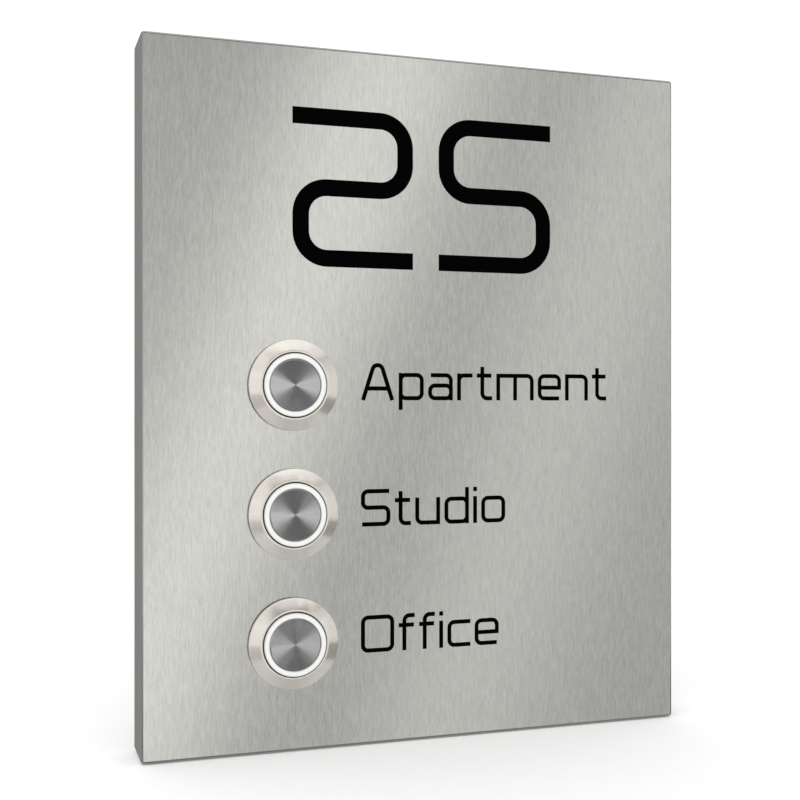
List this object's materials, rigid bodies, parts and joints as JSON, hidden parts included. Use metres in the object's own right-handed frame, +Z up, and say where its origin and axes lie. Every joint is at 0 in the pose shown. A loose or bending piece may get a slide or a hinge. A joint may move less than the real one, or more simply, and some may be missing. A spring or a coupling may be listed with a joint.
{
  "type": "door intercom panel",
  "caption": "Wall-mounted door call panel: brushed steel cover with a house number, name lines and ring-lit push buttons.",
  "frame": {"origin": "centre of the four wall screw holes, on the wall plane", "axes": "+X to the caller's right, +Y into the wall, +Z up; the face with the buttons looks along -Y"},
  "size_m": [0.14, 0.037, 0.17],
  "materials": {
    "brushed_cover": "vertical brushed grain",
    "black_infill": "black lacquer in the engraving",
    "frame_metal": "mill finish, folded and welded",
    "gasket_rubber": "closed-cell rubber",
    "zinc_sheet": "zinc-plated sheet",
    "rivet_aluminium": "satin",
    "screw_steel": "passivated stainless steel",
    "turned_cap": "turned in fine circles",
    "turned_bezel": "turned and bead-satin",
    "diffuser": "milky clear, lit white",
    "spring_steel": "drawn wire",
    "contact_brass": "tin-plated tips",
    "nut_steel": "nickel plated",
    "base_plastic": "moulded black thermoset",
    "board": "white solder mask",
    "led_body": "phosphor-filled lamp"
  },
  "bodies": {
    "panel": {"front_cover": "brushed_cover", "number_infill": "black_infill", "label_infill_top": "black_infill", "label_infill_middle": "black_infill", "label_infill_bottom": "black_infill", "wall_frame": "frame_metal", "wall_gasket": "gasket_rubber", "cover_gasket": "gasket_rubber", "hanging_rail": "zinc_sheet", "rail_rivets": "rivet_aluminium", "cover_hook_left": "zinc_sheet", "cover_hook_right": "zinc_sheet", "lock_lug_left": "zinc_sheet", "lock_lug_right": "zinc_sheet", "locking_screws": "screw_steel", "bezel_top": "turned_bezel", "front_seal_top": "gasket_rubber", "hex_nut_top": "nut_steel", "return_spring_top": "spring_steel", "switch_base_top": "base_plastic", "terminals_top": "contact_brass", "led_board_top": "board", "leds_top": "led_body", "bezel_middle": "turned_bezel", "front_seal_middle": "gasket_rubber", "hex_nut_middle": "nut_steel", "return_spring_middle": "spring_steel", "switch_base_middle": "base_plastic", "terminals_middle": "contact_brass", "led_board_middle": "board", "leds_middle": "led_body", "bezel_bottom": "turned_bezel", "front_seal_bottom": "gasket_rubber", "hex_nut_bottom": "nut_steel", "return_spring_bottom": "spring_steel", "switch_base_bottom": "base_plastic", "terminals_bottom": "contact_brass", "led_board_bottom": "board", "leds_bottom": "led_body"},
    "top_button": {"push_cap_top": "turned_cap", "light_ring_top": "diffuser", "stem_clip_top": "spring_steel", "contact_bridge_top": "contact_brass"},
    "middle_button": {"push_cap_middle": "turned_cap", "light_ring_middle": "diffuser", "stem_clip_middle": "spring_steel", "contact_bridge_middle": "contact_brass"},
    "bottom_button": {"push_cap_bottom": "turned_cap", "light_ring_bottom": "diffuser", "stem_clip_bottom": "spring_steel", "contact_bridge_bottom": "contact_brass"}
  },
  "joints": [
    {"name": "top_press", "type": "slide", "parent": "panel", "child": "top_button", "axis": [0, 1, 0], "range_m": [0, 0.0016], "stiffness_N_per_m": 1000, "springref_m": -0.002, "deforming": ["return_spring_top"]},
    {"name": "middle_press", "type": "slide", "parent": "panel", "child": "middle_button", "axis": [0, 1, 0], "range_m": [0, 0.0016], "stiffness_N_per_m": 1000, "springref_m": -0.002, "deforming": ["return_spring_middle"]},
    {"name": "bottom_press", "type": "slide", "parent": "panel", "child": "bottom_button", "axis": [0, 1, 0], "range_m": [0, 0.0016], "stiffness_N_per_m": 1000, "springref_m": -0.002, "deforming": ["return_spring_bottom"]}
  ]
}
